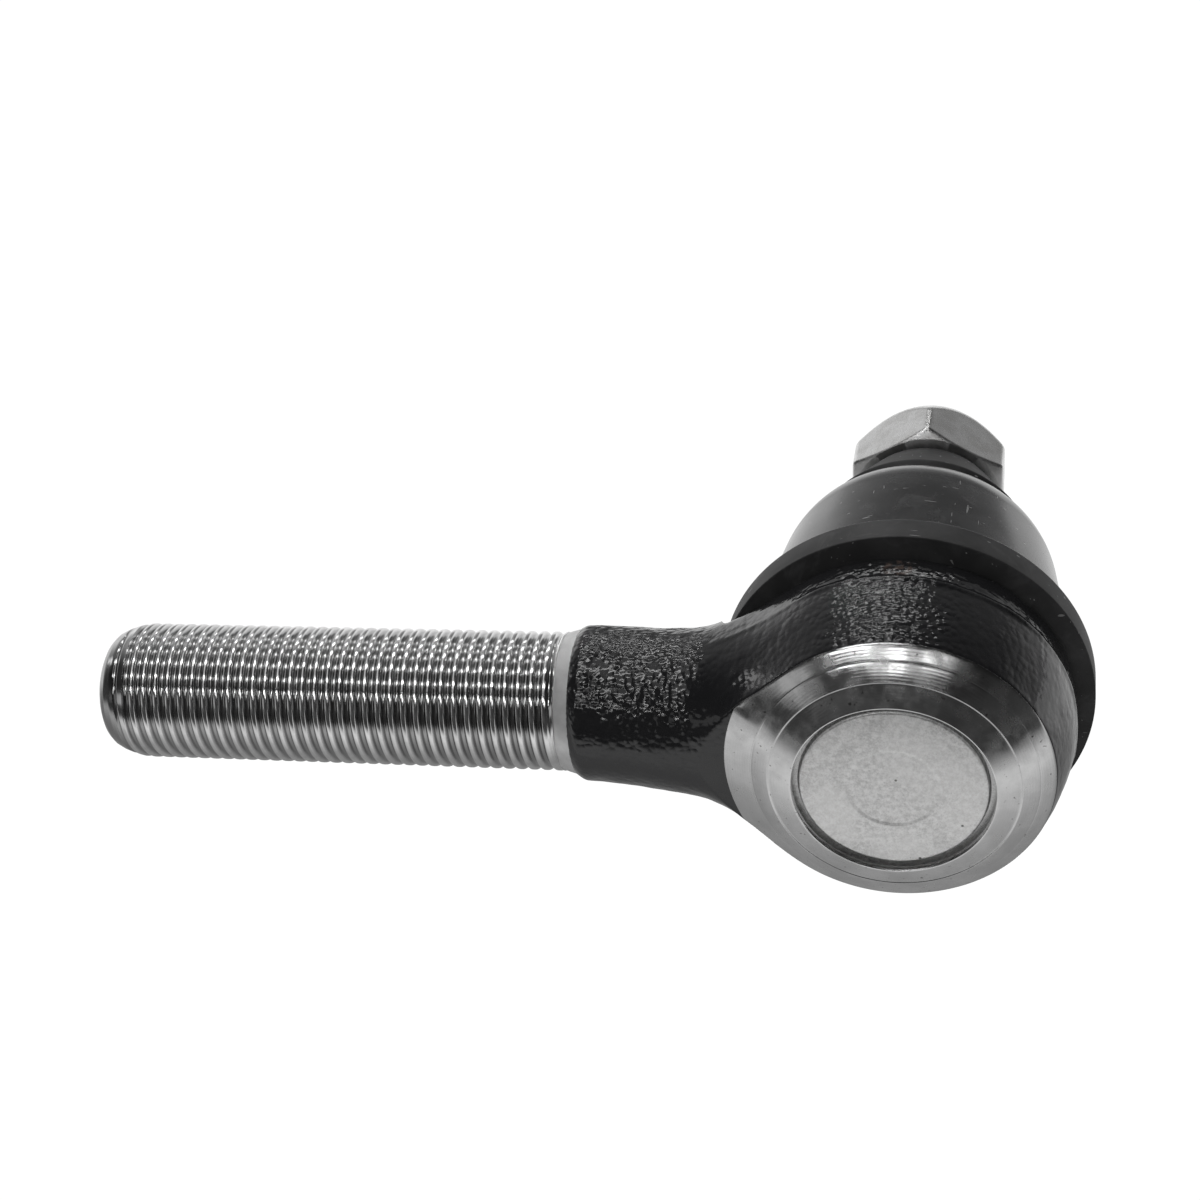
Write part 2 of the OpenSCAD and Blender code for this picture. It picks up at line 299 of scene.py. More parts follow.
class Shader(Nodes):
    """A principled material, with places and lengths in millimetres"""

    def __init__(self, name, **values):
        self.material = bpy.data.materials.new(name)
        super().__init__(self.material, "Object")
        self.bsdf = self.tree.nodes["Principled BSDF"]
        for key, value in values.items():
            self.bsdf.inputs[key.replace("_", " ")].default_value = value
        self.place = self.stretched((1 / MM,) * 3)

    def noise(self, size, detail=2.0, rough=0.5, distortion=0.0, vector=None):
        """Noise with features about size mm across, from 0 to 1"""
        node = self.node("TexNoise", Vector=vector or self.place, Scale=1 / size, Detail=detail,
                         Roughness=rough, Distortion=distortion)
        return node.outputs["Fac"]

    def wander(self, size, low, high, detail=3):
        """Slow change between two values"""
        return self.ramp(self.noise(size, detail), 0.3, 0.7, low, high)

    def cells(self, size, smooth=None):
        """Distance from the middle of the nearest cell, with cells about size mm across"""
        node = self.node("TexVoronoi", Vector=self.place, Scale=1 / size)
        if smooth is not None:
            node.feature = "SMOOTH_F1"
            node.inputs["Smoothness"].default_value = smooth
        return node.outputs["Distance"]

    def stretched(self, scale, turn=(0, 0, 0)):
        """The place, turned and scaled"""
        return self.node("Mapping", Vector=self.place, Rotation=turn, Scale=scale).outputs["Vector"]

    def mix(self, share, a, b):
        node = self.node("Mix")
        node.data_type = "RGBA"
        color_a, color_b, color_out = 6, 7, 2  # the node has other sockets for other types
        self.feed(node.inputs["Factor"], share)
        for socket, value in ((node.inputs[color_a], a), (node.inputs[color_b], b)):
            self.feed(socket, value if hasattr(value, "links") else (*value, 1))
        return node.outputs[color_out]

    def axis_distance(self, axis):
        """Distance from the X or Y axis"""
        a, b = [self.part(other) for other in "XYZ" if other != axis]
        return self.math("SQRT", self.add(self.times(a, a), self.times(b, b)))

    def near(self, point):
        """Distance from a point"""
        node = self.node("VectorMath")
        node.operation = "DISTANCE"
        self.feed(node.inputs[0], self.place)
        node.inputs[1].default_value = point
        return node.outputs["Value"]

    def bump(self, height, depth):
        """Bump whose height of 1 stands for depth mm"""
        node = self.node("Bump", Distance=depth * MM, Height=height)
        self.feed(self.bsdf.inputs["Normal"], node.outputs["Normal"])

    def color(self, value):
        self.feed(self.bsdf.inputs["Base Color"], value)

    def roughness(self, value):
        self.feed(self.bsdf.inputs["Roughness"], value)


def grey(value):
    return (value,) * 3


# ---------------------------------------------------------------- materials


def black_paint():
    """Gloss paint, pebbled on the upper side of the neck and down the middle of the eye"""
    s = Shader("black_forging_paint", Metallic=0.0, Specular_IOR_Level=0.55)
    upper = s.ramp(s.part("Z"), -3.0, 6.0, 0.3, 1.0)
    neck = s.ramp(s.part("X"), -19.0, -23.5, 0.0, 0.8)
    ragged = s.times(s.noise(3.5, 2), 9.0)
    middle = s.ramp(s.add(s.math("ABSOLUTE", s.part("X")), ragged), 15.5, 7.0)
    patches = s.wander(2.6, 0.5, 1.3, detail=2)
    grain = s.times(upper, patches, s.ramp(s.most(neck, middle), 0.0, 1.0, 0.28, 1.0))
    pebble = s.math("SUBTRACT", s.times(s.noise(1.4, 1, 0.4), 0.5), s.cells(0.75, smooth=0.25))
    s.bump(s.times(pebble, grain), 0.13)
    tone = s.mix(s.noise(3, 4), (0.013, 0.013, 0.0145), (0.022, 0.022, 0.0235))
    dust = s.ramp(s.noise(0.35, 3, 0.6), 0.66, 0.8)
    tone = s.mix(s.times(dust, 0.35), tone, (0.09, 0.088, 0.085))
    rust = s.times(s.ramp(s.near((0, -0.3, EYE_R)), 1.9, 1.2), s.ramp(s.noise(0.8, 3), 0.4, 0.6))
    s.color(s.mix(s.times(rust, 0.6), tone, (0.13, 0.09, 0.075)))
    s.roughness(s.wander(1.6, 0.1, 0.16))
    return s.material


def turned_steel(name, tone, rough, groove, depth):
    """Steel turned about the stud's axis, with tool marks groove mm apart"""
    s = Shader(name, Metallic=1.0, Anisotropic=0.35, Anisotropic_Rotation=0.25)
    radius = s.add(s.axis_distance("Y"), s.times(s.noise(9, 2), 0.5))
    marks = s.math("SINE", s.times(radius, 2 * math.pi / groove))
    s.bump(s.add(s.times(marks, 0.35), s.noise(0.9, 3, 0.6)), depth)
    tangent = s.node("Tangent")
    tangent.direction_type, tangent.axis = "RADIAL", "Y"
    s.feed(s.bsdf.inputs["Tangent"], tangent.outputs["Tangent"])
    stain = s.ramp(s.noise(4.5, 5, 0.62), 0.35, 0.68)
    speck = s.ramp(s.noise(0.5, 2), 0.69, 0.74)
    steel = s.mix(stain, grey(tone * 0.84), grey(tone))
    s.color(s.mix(s.times(speck, 0.7), steel, (0.05, 0.045, 0.04)))
    s.roughness(s.wander(1.8, rough - 0.06, rough + 0.08))
    return s.material


def plate_steel():
    """Mottled, dull plated sheet with a few pits"""
    s = Shader("cover_plate_steel", Metallic=0.8)
    mottle = s.noise(0.55, 6, 0.8)
    tone = s.mix(s.ramp(mottle, 0.34, 0.66), (0.55, 0.55, 0.545), (0.97, 0.97, 0.965))
    cloud = s.ramp(s.noise(6, 3), 0.4, 0.65, 0.0, 0.35)
    tone = s.mix(cloud, tone, (0.93, 0.93, 0.92))
    pits = s.times(s.ramp(s.cells(1.9), 0.11, 0.06), s.ramp(s.noise(3.1, 1), 0.5, 0.56))
    s.color(s.mix(pits, tone, grey(0.05)))
    s.roughness(s.ramp(mottle, 0.3, 0.7, 0.34, 0.5))
    s.bump(s.add(s.times(mottle, 0.7), s.times(s.noise(0.35, 2), 0.4)), 0.014)
    return s.material


def zinc():
    """Bright zinc plate with handling marks, a little duller at the nut's underside"""
    s = Shader("nut_zinc", Metallic=0.95)
    tone = 0.66
    cloud = s.ramp(s.noise(2.6, 5, 0.6), 0.3, 0.7)
    plate = s.mix(cloud, (tone * 0.8, tone * 0.795, tone * 0.785), grey(tone))
    speck = s.ramp(s.noise(0.4, 2), 0.72, 0.78)
    s.color(s.mix(s.times(speck, 0.6), plate, (0.16, 0.15, 0.13)))
    streak = s.noise(1.0, 3, 0.6, vector=s.stretched((3.2, 0.5, 1.4), (0.3, 0.5, 0.4)))
    satin = s.ramp(s.part("Y"), NUT_Y + 1.0, NUT_Y, 0.0, 0.12)
    s.roughness(s.add(s.ramp(streak, 0.3, 0.7, 0.2, 0.3), satin))
    s.bump(s.add(streak, s.times(s.noise(0.5, 3), 0.6)), 0.001)
    return s.material


def thread_steel(name, axis, major, rough):
    """Rolled thread about an axis, with painted shade in its roots"""
    s = Shader(name, Metallic=1.0)
    radius = s.add(s.axis_distance(axis), s.times(s.noise(0.8, 2), 0.1))
    crest = s.mix(s.ramp(s.noise(3.5, 5, 0.6), 0.3, 0.7), grey(0.62), grey(0.8))
    # Painted shade: the colour darkens from the crest down into the thread's roots
    s.color(s.mix(s.ramp(radius, major - 0.42, major), grey(0.34), crest))
    shine = s.wander(1.2, rough - 0.03, rough + 0.03)
    if axis == "X":
        runout = s.ramp(s.math("ABSOLUTE", s.part("X")), THREAD_END, THREAD_END - 0.15, 0.0, 0.34)
        shine = s.add(shine, runout)
    s.roughness(shine)
    s.bump(s.noise(0.9, 2), 0.0008)
    return s.material


def rubber():
    """Moulded rubber: a glossy dome, a dull collar with painted shade on it, a dull flange, and pale
    scratches, dust and smudges
    """
    s = Shader("boot_rubber", Metallic=0.0)
    scratches = [s.ramp(s.noise(size, 1, vector=s.stretched(scale, turn)), low, low + 0.01)
                 for size, scale, turn, low in ((1.7, (4.4, 0.5, 2.4), (0.2, 0.5, 0.9), 0.755),
                                                (1.9, (0.5, 4.4, 2.2), (0.3, -0.4, 0.6), 0.75))]
    dust = s.ramp(s.noise(0.4, 2), 0.765, 0.79)
    marks = s.most(*scratches, s.times(dust, 0.5))
    collar = s.ramp(s.part("Y"), CREASE_Y, CREASE_Y + 0.6)
    flange = s.ramp(s.part("Y"), FLANGE_END - 0.12, FLANGE_END - 0.3)
    tone = s.mix(s.ramp(s.noise(5, 3), 0.35, 0.65), (0.028, 0.028, 0.0285), (0.05, 0.05, 0.051))
    # Painted shade: the collar's colour is mixed most of the way to near black
    tone = s.mix(s.times(collar, 0.7), tone, (0.008, 0.008, 0.0085))
    smudge = s.ramp(s.noise(3.6, 5, 0.62, 0.6), 0.52, 0.72, 0.0, 0.4)
    tone = s.mix(smudge, tone, (0.11, 0.11, 0.112))
    s.color(s.mix(s.times(marks, 0.6), tone, grey(0.45)))
    dull = s.add(s.most(collar, flange), s.times(s.noise(2.2, 3), 0.2))
    s.roughness(s.ramp(dull, 0.0, 1.1, 0.17, 0.62))
    s.bump(s.add(s.times(s.noise(0.25, 3, 0.6), 0.5), marks), 0.012)
    return s.material


def plastic(name, low, high, rough):
    s = Shader(name, Metallic=0.0)
    s.color(s.mix(s.ramp(s.noise(3, 4), 0.35, 0.65), low, high))
    s.roughness(s.wander(0.8, rough - 0.06, rough + 0.08))
    s.bump(s.noise(0.3, 3, 0.6), 0.012)
    return s.material


paint = black_paint()
rim_steel = turned_steel("machined_rim_steel", 0.66, 0.2, 0.3, 0.0025)
shank_steel = thread_steel("shank_thread_steel", "X", SHANK_R, 0.16)
stud_thread_steel = thread_steel("stud_thread_steel", "Y", STUD_R, 0.64)
stud_steel = turned_steel("ground_stud_steel", 0.56, 0.24, 0.3, 0.006)
plate_metal = plate_steel()
nut_zinc = zinc()
boot_rubber = rubber()
spring_metal = turned_steel("spring_steel", 0.34, 0.34, 0.5, 0.008)
ring_metal = turned_steel("insert_steel", 0.5, 0.38, 0.4, 0.008)
acetal = plastic("acetal", (0.70, 0.68, 0.6), (0.82, 0.8, 0.72), 0.36)
nylon = plastic("nylon_insert", (0.03, 0.08, 0.3), (0.05, 0.12, 0.4), 0.4)


# ---------------------------------------------------------------- forging

SKIN_BORE = 13.9
SKIN_LOW, SKIN_HIGH, SKIN_STEP = (-37.2, -13.2, -20.4), (20.4, 3.6, 20.4), 0.28
# Waviness of the forged skin: height, size and shift of each layer of noise
SKIN_WAVES = ((0.03, 1.3, (0, 0, 0)), (0.012, 0.7, (7, 3, 1)), (0.1, 5.5, (2, 9, 4)))


def soft_min(a, b, k):
    """Lesser of two values, rounded where they are closer than k"""
    h = np.maximum(k - np.abs(a - b), 0) / k
    return np.minimum(a, b) - h * h * k / 4


def soft_max(a, b, k):
    return -soft_min(-a, -b, k)


def outside_forging(x, y, z):
    """Roughly the distance in mm outside the forged surface, before machining"""
    r = np.hypot(x, z)
    drop = np.abs(y - EYE_Y) / EYE_REACH
    side = EYE_R - np.where(y < EYE_Y, 2.1 * drop ** 1.64, 0.6 * drop ** 1.5)
    angle = np.arctan2(x, z)
    flash = 0.16 + 0.07 * np.sin(3 * angle + 0.6) + 0.05 * np.sin(11 * angle)
    side = side + flash * np.exp(-((y - FLASH_Y + 0.12 * np.sin(5 * angle)) / FLASH_WIDTH) ** 2)
    eye = (r - side) * 0.97
    chamfer = RUNOUT_R + 0.02 + (x + RUNOUT_END) * 0.68
    size = soft_min(np.interp(x, NECK_X, NECK_SIZE), chamfer, 0.25)
    neck = np.hypot(y - np.interp(x, NECK_X, NECK_MIDDLE_Y), z) - size
    neck = soft_max(neck, NECK_FLOOR_Y - y, 1.2)
    away = np.clip((r - FLANGE_CLEAR) / RISE_RUN, 0, 1)
    ceiling = SHOULDER_Y + RISE_HEIGHT * np.sqrt(1 - (1 - away) ** 2)
    neck = soft_max(neck, (y - ceiling) * 0.75, 1.6)
    neck = np.maximum(neck, x - NECK_END_X)
    body = soft_min(eye, neck, NECK_BLEND)
    return soft_max(body, y - np.where(r < FLANGE_CLEAR, SHOULDER_Y, ceiling + 3), 1.5)


def rim_cone(r):
    """Height of the machined rim at a radius"""
    return np.interp(r, [LIP_R, BEAD_R, RING_R, RIM_R, SKIRT_R], [LIP_Y, BEAD_Y, RING_Y, RIM_Y, SKIRT_Y])


def outside_skin(x, y, z):
    """Distance in mm outside the painted skin: the forging less what is machined"""
    r = np.hypot(x, z)
    d = outside_forging(x, y, z)
    tuck = 0.1 * np.clip(RIM_R + 0.4 - r, 0.4, 1)
    d = np.maximum(d, (rim_cone(r) - y) * 0.87 + tuck)
    d = np.maximum(d, SKIN_BORE - r)
    return np.maximum(d, -RUNOUT_END - x)


def surface_net(field, low, high, step):
    """Quad mesh of field = 0: a point in each cell that it crosses, a quad for each edge that it crosses"""
    x, y, z = np.meshgrid(*[np.arange(a, b + step, step) for a, b in zip(low, high)], indexing="ij")
    d = field(x, y, z)
    cells = tuple(n - 1 for n in d.shape)
    corner = {}
    for i in (0, 1):
        for j in (0, 1):
            for k in (0, 1):
                corner[i, j, k] = d[i:i + cells[0], j:j + cells[1], k:k + cells[2]]
    inside = sum((c < 0).astype(int) for c in corner.values())
    active = (inside > 0) & (inside < 8)
    index = np.full(cells, -1)
    index[active] = np.arange(active.sum())
    total = np.zeros((active.sum(), 3))
    crossings = np.zeros(active.sum())
    for a in corner:
        for axis in range(3):
            if a[axis]:
                continue
            b = tuple(1 if n == axis else a[n] for n in range(3))
            da, db = corner[a][active], corner[b][active]
            cross = (da < 0) != (db < 0)
            t = np.where(cross, da / np.where(cross, da - db, 1), 0)
            p = np.tile(np.array(a, float), (len(da), 1))
            p[:, axis] += t
            total[cross] += p[cross]
            crossings += cross
    cell = np.argwhere(active)
    points = np.array(low) + step * (cell + total / crossings[:, None])
    faces = []
    for axis in range(3):
        u, v = (axis + 1) % 3, (axis + 2) % 3
        ahead = np.roll(d, -1, axis)
        change = (d < 0) != (ahead < 0)
        keep = [slice(1, -1)] * 3
        keep[axis] = slice(0, -1)
        grid = np.zeros(d.shape, bool)
        grid[tuple(keep)] = change[tuple(keep)]
        at = np.argwhere(grid)
        falling = d[tuple(at.T)] < 0
        quad = []
        for du, dv in ((-1, -1), (0, -1), (0, 0), (-1, 0)):
            c = at.copy()
            c[:, u] += du
            c[:, v] += dv
            quad.append(index[tuple(c.T)])
        quad = np.stack(quad, 1)
        quad[~falling] = quad[~falling][:, ::-1]
        faces.append(quad)
    return points, np.concatenate(faces)


def slope_of(field, p, reach=0.02):
    """Gradient of a field at points, from values reach mm to either side"""
    out = []
    for axis in range(3):
        shift = np.zeros(3)
        shift[axis] = reach
        out.append((field(*(p + shift).T) - field(*(p - shift).T)) / (2 * reach))
    return np.stack(out, 1)


def normal_of(field, p):
    slope = slope_of(field, p)
    return slope / (np.linalg.norm(slope, axis=1)[:, None] + 1e-9)


def settle(field, points, faces, rounds=6):
    """Evens the mesh out and puts its points on field = 0"""
    for _ in range(rounds):
        total, count = np.zeros_like(points), np.zeros(len(points))
        for k in range(4):
            a, b = faces[:, k], faces[:, (k + 1) % 4]
            np.add.at(total, a, points[b])
            np.add.at(total, b, points[a])
            np.add.at(count, a, 1)
            np.add.at(count, b, 1)
        normal = normal_of(field, points)
        move = total / count[:, None] - points
        points = points + 0.5 * (move - (move * normal).sum(1)[:, None] * normal)
        for _ in range(2):
            slope = slope_of(field, points)
            step = field(*points.T)[:, None] * slope / ((slope * slope).sum(1)[:, None] + 1e-9)
            points = points - np.clip(step, -0.1, 0.1)
    return points


def forging_skin():
    """The painted part of the forging, wavy but for where it meets a machined face"""
    points, faces = surface_net(outside_skin, SKIN_LOW, SKIN_HIGH, SKIN_STEP)
    points = settle(outside_skin, points, faces)
    normal = normal_of(outside_skin, points)
    r = np.hypot(points[:, 0], points[:, 2])
    fade = np.clip((points[:, 1] - rim_cone(r) - 0.15) / 0.6, 0, 1) * np.clip((r - SKIN_BORE) / 0.5, 0, 1)
    fade *= np.clip((points[:, 0] + RUNOUT_END - 0.3) / 0.8, 0, 1)
    lift = np.array([
        sum(height * noise.noise(Vector(p) / size + Vector(shift)) for height, size, shift in SKIN_WAVES)
        for p in points
    ])
    points = points + normal * (lift * fade)[:, None]
    return add_mesh("housing_forging", points, faces, paint, sharp=55)


def boundary_radius(angle):
    """Where the machined cone meets the forged surface, for each angle round the stud axis"""
    low, high = np.full(len(angle), 15.0), np.full(len(angle), 18.6)
    halvings = 40
    for _ in range(halvings):
        middle = (low + high) / 2
        p = turned(middle, rim_cone(middle), angle)
        outside = outside_forging(*p.T) > 0
        high = np.where(outside, middle, high)
        low = np.where(outside, low, middle)
    return low


def machined_socket():
    """The machined rim and rolled lip, the recess and bore behind them, and the boss for the boot"""
    turn = angles(288)
    edge = boundary_radius(turn)
    cone = rim_cone(edge)
    inner = RING_R + 0.12
    loops = [turned(edge - inset, cone + rise, turn)
             for inset, rise in ((0.03, 0.45), (0.01, 0.05), (0.06, -0.02))]
    for share in (0.15, 0.3, 0.45, 0.6, 0.75, 0.9):
        loops.append(turned(edge * (1 - share) + inner * share, cone + (RING_Y - cone) * share, turn))
    face = rounded([
        (inner, RING_Y, 0.05), (RING_R, RING_Y - 0.05, 0.05), (RING_R - 0.12, RING_Y - 0.146, 0.05),
        (BEAD_R + 0.12, BEAD_Y, 0.08), (BEAD_R - 0.02, BEAD_Y + 0.08, 0.08),
        (BEAD_R - 0.18, BEAD_Y + 0.02, 0.08), (LIP_R, LIP_Y, 0.28), (LIP_R + 0.05, LIP_Y + 0.95, 0.1),
        (PLATE_R, PLATE_SEAT, 0), (PLATE_R, PLATE_BACK, 0), (SOCKET_R, PLATE_BACK, 0.1),
        (SOCKET_R, SOCKET_Y, 0.1), (THROAT_R, THROAT_Y, 0.3), (MOUTH_R, BOSS_Y, 0.2),
        (BOSS_R - 0.5, BOSS_Y, 0.1), (BOSS_R, BOSS_Y - 0.5, 0.1), (BOSS_R, SHOULDER_Y - 0.4, 0),
        (SKIN_BORE + 0.3, SHOULDER_Y - 0.5, 0), (SKIN_BORE + 0.3, SKIRT_Y + 0.15, 0),
        (16.2, SKIRT_Y - 0.1, 0),
    ])
    loops += [turned(r, y, turn) for r, y in face]
    return add_mesh("housing_machined", *skin_loops(loops, True), rim_steel, 24)


# ---------------------------------------------------------------- threads

def thread_profile(pitch):
    """(phase, depth) over one pitch of a rolled thread, from one crest's middle to the next"""
    deep = 0.38 * pitch
    crest, root = 0.11, 0.41
    half = [(0.0, 0.0), (crest, 0.004 * pitch)]
    for share in (0.14, 0.3, 0.5, 0.7, 0.86, 1.0):
        half.append((crest + (root - crest) * share, deep * share * share * (3 - 2 * share)))
    return half + [(1 - phase, depth) for phase, depth in half[:0:-1]]


def thread_loops(radius, pitch, crest_at, start, end, envelope, depth_share, turn):
    """Loops of a right-hand thread from start to end, as radius and distance along the axis"""
    loops = []
    first, last = math.floor((start - crest_at) / pitch) - 2, math.ceil((end - crest_at) / pitch) + 2
    for k in range(first, last):
        for phase, depth in thread_profile(pitch):
            along = np.clip(crest_at + (k + phase + turn / (2 * math.pi)) * pitch, start, end)
            loops.append((np.minimum(radius - depth * depth_share(along), envelope(along)), along))
    return loops


def shank_thread():
    """The shank from its run-out collar to its tip and centre-drilled hole"""
    turn = angles(120)
    nose = [(THREAD_END - 3, SHANK_R + 1), (TIP - 4.4, SHANK_R), (TIP - 3.2, 7.75), (TIP - 2.0, 7.35),
            (TIP - 1.1, 6.9), (TIP - 0.5, 6.35), (TIP - 0.12, 5.7), (TIP, 5.3)]
    across, height = zip(*nose)
    collar = [(0.4, RUNOUT_END - 0.9), (RUNOUT_R - 0.4, RUNOUT_END - 0.9),
              (RUNOUT_R + 0.08, RUNOUT_END - 0.35), (RUNOUT_R - 0.03, RUNOUT_END + 0.02),
              (8.1, 37.6), (7.96, 38.0), (7.9, THREAD_END - 0.1)]
    thread = thread_loops(
        SHANK_R, SHANK_PITCH, CREST_AT, THREAD_END - 0.05, TIP, lambda a: np.interp(a, across, height),
        lambda a: np.clip((a - THREAD_END + 0.3) / 1.6, 0, 1), turn)
    centre_hole = [(4.0, TIP), (2.35, TIP), (2.2, TIP - 0.12), (0.9, TIP - 2.2), (0.85, TIP - 4.4),
                   (0.2, TIP - 4.8)]
    loops = [np.stack([-along + 0 * turn, r * np.cos(turn), -r * np.sin(turn)], -1)
             for r, along in collar + thread + centre_hole]
    helix = (len(collar), len(collar) + len(thread) - 1, len(thread_profile(SHANK_PITCH)))
    return add_mesh("housing_thread", *skin_loops(loops, False, helix), shank_steel, 50)


# ---------------------------------------------------------------- stud, nut and plate

def hex_radius(turn, flats, soft):
    """Radius at each angle of a hexagon with rounded corners, one of them at angle 0"""
    sides = [flats / 2 / np.maximum(np.cos(turn - math.radians(30 + 60 * k)), 0.2) for k in range(6)]
    sides = np.sort(np.stack(sides), axis=0)
    return soft_min(sides[0], sides[1], soft)


def nut():
    """Hexagon with a chamfered underside, whose other end slopes in to a rolled edge over the insert"""
    turn = angles(432)
    hexagon = hex_radius(turn - NUT_TURN, NUT_AF, 0.5)
    corner, flat = NUT_AF / math.sqrt(3), NUT_AF / 2
    chamfer = (corner - flat) * math.tan(math.radians(30))
    crown = chamfer + NUT_FLAT_H
    outline = [(0, flat + 0.02), (chamfer * 1.6, corner + (corner - flat) * 0.6),
               (crown - 1.2, corner + 0.6), (crown + 2.9, flat), (crown + 3.7, flat - 0.42),
               (NUT_H - 1.4, flat - 0.95), (NUT_H - 0.7, flat - 1.25), (NUT_H - 0.2, flat - 1.75),
               (NUT_H, flat - 2.3)]
    across, limit = zip(*outline)
    loops = []
    for h in np.concatenate([np.linspace(0, 3.2, 40), np.linspace(3.3, NUT_H, 84)]):
        r = soft_min(hexagon, np.full_like(turn, np.interp(h, across, limit)), 0.42)
        loops.append(turned(r, NUT_Y + h, turn))
    inside = [(INSERT_R - 0.15, NUT_TOP - 0.02), (INSERT_R - 0.4, NUT_TOP - 0.2),
              (INSERT_R - 0.45, NUT_TOP - 0.42), (INSERT_R, NUT_TOP - 0.45), (INSERT_R, NUT_TOP - INSERT_H),
              (STUD_R + 0.02, NUT_TOP - INSERT_H), (STUD_R + 0.02, NUT_Y + 0.8),
              (STUD_R + 0.9, NUT_Y + 0.05), (STUD_R + 1.6, NUT_Y)]
    loops += [turned(r, y, turn) for r, y in inside]
    return add_mesh("nut_body", *skin_loops(loops, True), nut_zinc, 40)


def nut_ring():
    foot = NUT_TOP - INSERT_H + 0.02
    return lathe("nut_nylon_ring", rounded([
        (INSERT_R - 0.02, foot, 0.1), (INSERT_R - 0.02, NUT_TOP - 0.46, 0.2),
        (STUD_R + 0.35, NUT_TOP - 0.5, 0.3), (STUD_R - 0.12, NUT_TOP - 1.1, 0.2),
        (STUD_R - 0.12, foot, 0.1)]), nylon)


def stud():
    """Ball, neck and taper, up to the start of the thread"""
    ball = arc((0, 0), BALL_R, -73.7, 58.7, 39)
    body = rounded([
        (5.2, 9.3, 0.6), (5.2, 12.6, 1.0), (5.8, 15.1, 0.8), (TAPER_R - 0.3, TAPER_Y - 2.6, 0.5),
        (TAPER_R, TAPER_Y - 2, 0.3), (TAPER_R, TAPER_Y, 0.1), (STUD_R + 0.04, NUT_Y - 1.6, 0.1),
        (5.3, NUT_Y - 1.5, 0), (5.3, NUT_Y - 0.4, 0)], 5)
    return lathe("stud_taper_and_ball", [(2.0, -9.6), *ball, *body], stud_steel, closed=False)


def stud_thread():
    """The stud's threaded end, with a hexagon recess for a key"""
    turn = angles(144)
    start, end = NUT_Y - 1.55, STUD_TIP
    nose = [(start, STUD_R), (end - 1.0, STUD_R), (end - 0.12, STUD_R - 0.86), (end, STUD_R - 1.0)]
    across, height = zip(*nose)
    thread = thread_loops(
        STUD_R, STUD_PITCH, start, start, end, lambda a: np.interp(a, across, height),
        lambda a: np.clip((a - start) / 1.2, 0, 1), turn)
    foot = [(0.5, start + 0.6), (5.2, start)]
    key = hex_radius(turn, KEY_FLATS, 0.12)
    recess = [(key + grow, end - sink) for grow, sink in (
        (1.45, 0.0), (0.35, 0.0), (0.12, 0.1), (0.0, 0.35), (0.0, KEY_DEPTH))]
    recess += [(key * 0.6, end - KEY_DEPTH - 0.4), (0.3, end - KEY_DEPTH - 1.0)]
    loops = [turned(r, y, turn) for r, y in foot] + [turned(r, y, -turn) for r, y in thread + recess]
    helix = (len(foot), len(foot) + len(thread) - 1, len(thread_profile(STUD_PITCH)))
    return add_mesh("stud_thread", *skin_loops(loops, False, helix), stud_thread_steel, 45)


def cover_plate():
    """Pressed plate with a raised crown, a shallow round pad in its middle and a dished back"""
    edge, seat = PLATE_R - 0.02, PLATE_SEAT + 0.02
    return lathe("cover_plate_cap", rounded([
        (0.02, PLATE_BACK - DISH_DEPTH, 0), (DISH_R - 0.5, PLATE_BACK - DISH_DEPTH, 0.3),
        (DISH_R, PLATE_BACK, 0.3), (edge, PLATE_BACK, 0.15), (edge, seat, 0.1),
        (CROWN_R + 0.1, seat, 0.15), (CROWN_R, CROWN_Y, 0.75), (PAD_R + 0.5, CROWN_Y, 0.2),
        (PAD_R + 0.1, CROWN_Y + PAD_DEPTH, 0.2), (0.02, CROWN_Y + 0.05, 0)], 6),
        plate_metal, 256, sharp=50)


# ---------------------------------------------------------------- boot

BOOT_SIDES = 224


def dome_points(inset, steps):
    """The dome's round shoulder, from the top of the wall to the crease"""
    lean = math.radians(DOME_LEAN)
    centre = (DOME_TOP_R - DOME_ROUND * math.cos(lean), DOME_TOP_Y - DOME_ROUND * math.sin(lean))
    return arc(centre, DOME_ROUND - inset, DOME_LEAN, DOME_LAST, steps)


def wall(y, inset):
    """Radius of the boot's lower wall, slightly bowed"""
    t = (y - WALL_Y) / (DOME_TOP_Y - WALL_Y)
    return DOME_FOOT_R + (DOME_TOP_R - DOME_FOOT_R) * t + WALL_BOW * np.sin(math.pi * t) - inset


def boot_lower():
    """The flange and the wall above it, up to the seam"""
    foot = FLANGE_Y + 0.03
    outside = rounded([
        (BOSS_R + 0.02, foot, 0.1), (FLANGE_R, foot, 0.14), (FLANGE_R, FLANGE_END, 0.22),
        (DOME_FOOT_R + 0.5, FLANGE_END + 0.02, 0.1), (DOME_FOOT_R + 0.3, FLANGE_END - 0.45, 0.1),
        (DOME_FOOT_R + 0.02, FLANGE_END - 0.4, 0.1)], 5)
    heights = np.linspace(FLANGE_END + 0.1, BOOT_SEAM, 28)
    outside += [(wall(y, 0), y) for y in heights]
    inside = [(wall(y, BOOT_WALL), y) for y in heights[::-1] if y > BOSS_Y + 0.8]
    inside += [(BOSS_R + 0.9, BOSS_Y - 0.2), (BOSS_R + 0.02, BOSS_Y - 1.0)]
    return lathe("dust_boot_lower", outside + inside, boot_rubber, BOOT_SIDES)


